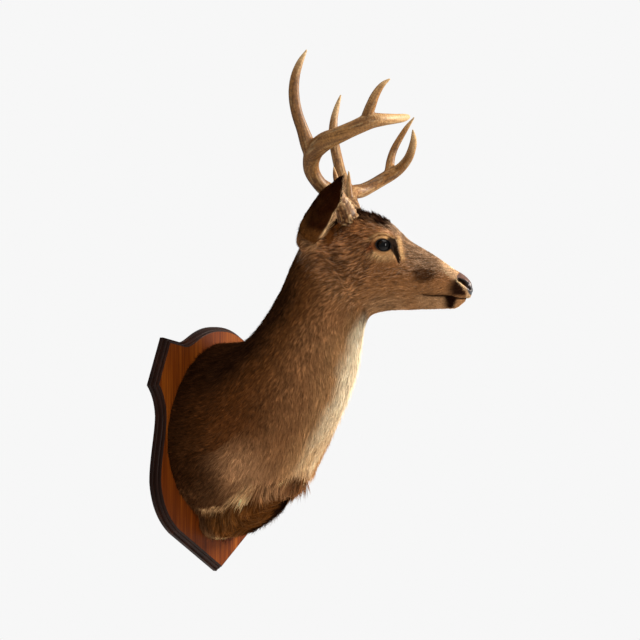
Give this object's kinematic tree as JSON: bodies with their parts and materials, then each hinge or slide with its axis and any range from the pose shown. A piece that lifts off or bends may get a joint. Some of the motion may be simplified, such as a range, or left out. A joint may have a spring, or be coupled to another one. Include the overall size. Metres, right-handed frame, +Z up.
{
  "type": "white-tailed deer shoulder mount",
  "caption": "Taxidermy shoulder mount of an antlered white-tailed buck looking to its left, on a moulded wooden shield board that hangs flat on a wall.",
  "frame": {"origin": "centre of the shield board's flat back face, on the wall", "axes": "+Z up; -Y out from the wall, towards the front of the mount; +X to the deer's left"},
  "size_m": [0.4529, 0.502, 0.9586],
  "materials": {
    "coat": "short grizzled hair, matt",
    "throat_patch": "cream hair, matt",
    "ear_back": "short black-brown hair, matt",
    "nose": "bare pebbled skin, satin",
    "eye": "dark glass eye, polished",
    "antler": "ridged bone, satin",
    "board": "mahogany with satin varnish"
  },
  "bodies": {
    "root": {"shield_board": "board", "ear_right": "ear_back", "eye_right": "eye", "antler_right_base": "antler", "antler_right_middle": "antler", "antler_right_tip": "antler", "antler_right_brow_tine": "antler", "antler_right_second_tine": "antler", "antler_right_third_tine": "antler", "ear_left": "ear_back", "eye_left": "eye", "antler_left_base": "antler", "antler_left_middle": "antler", "antler_left_tip": "antler", "antler_left_brow_tine": "antler", "antler_left_second_tine": "antler", "antler_left_third_tine": "antler", "head": "coat", "muzzle": "coat", "nose_pad": "nose", "lower_jaw": "throat_patch", "neck_upper": "coat", "neck_lower": "coat", "trunk": "coat", "foreleg_stub_left": "coat", "brisket": "coat", "foreleg_stub_right": "coat"}
  },
  "joints": []
}
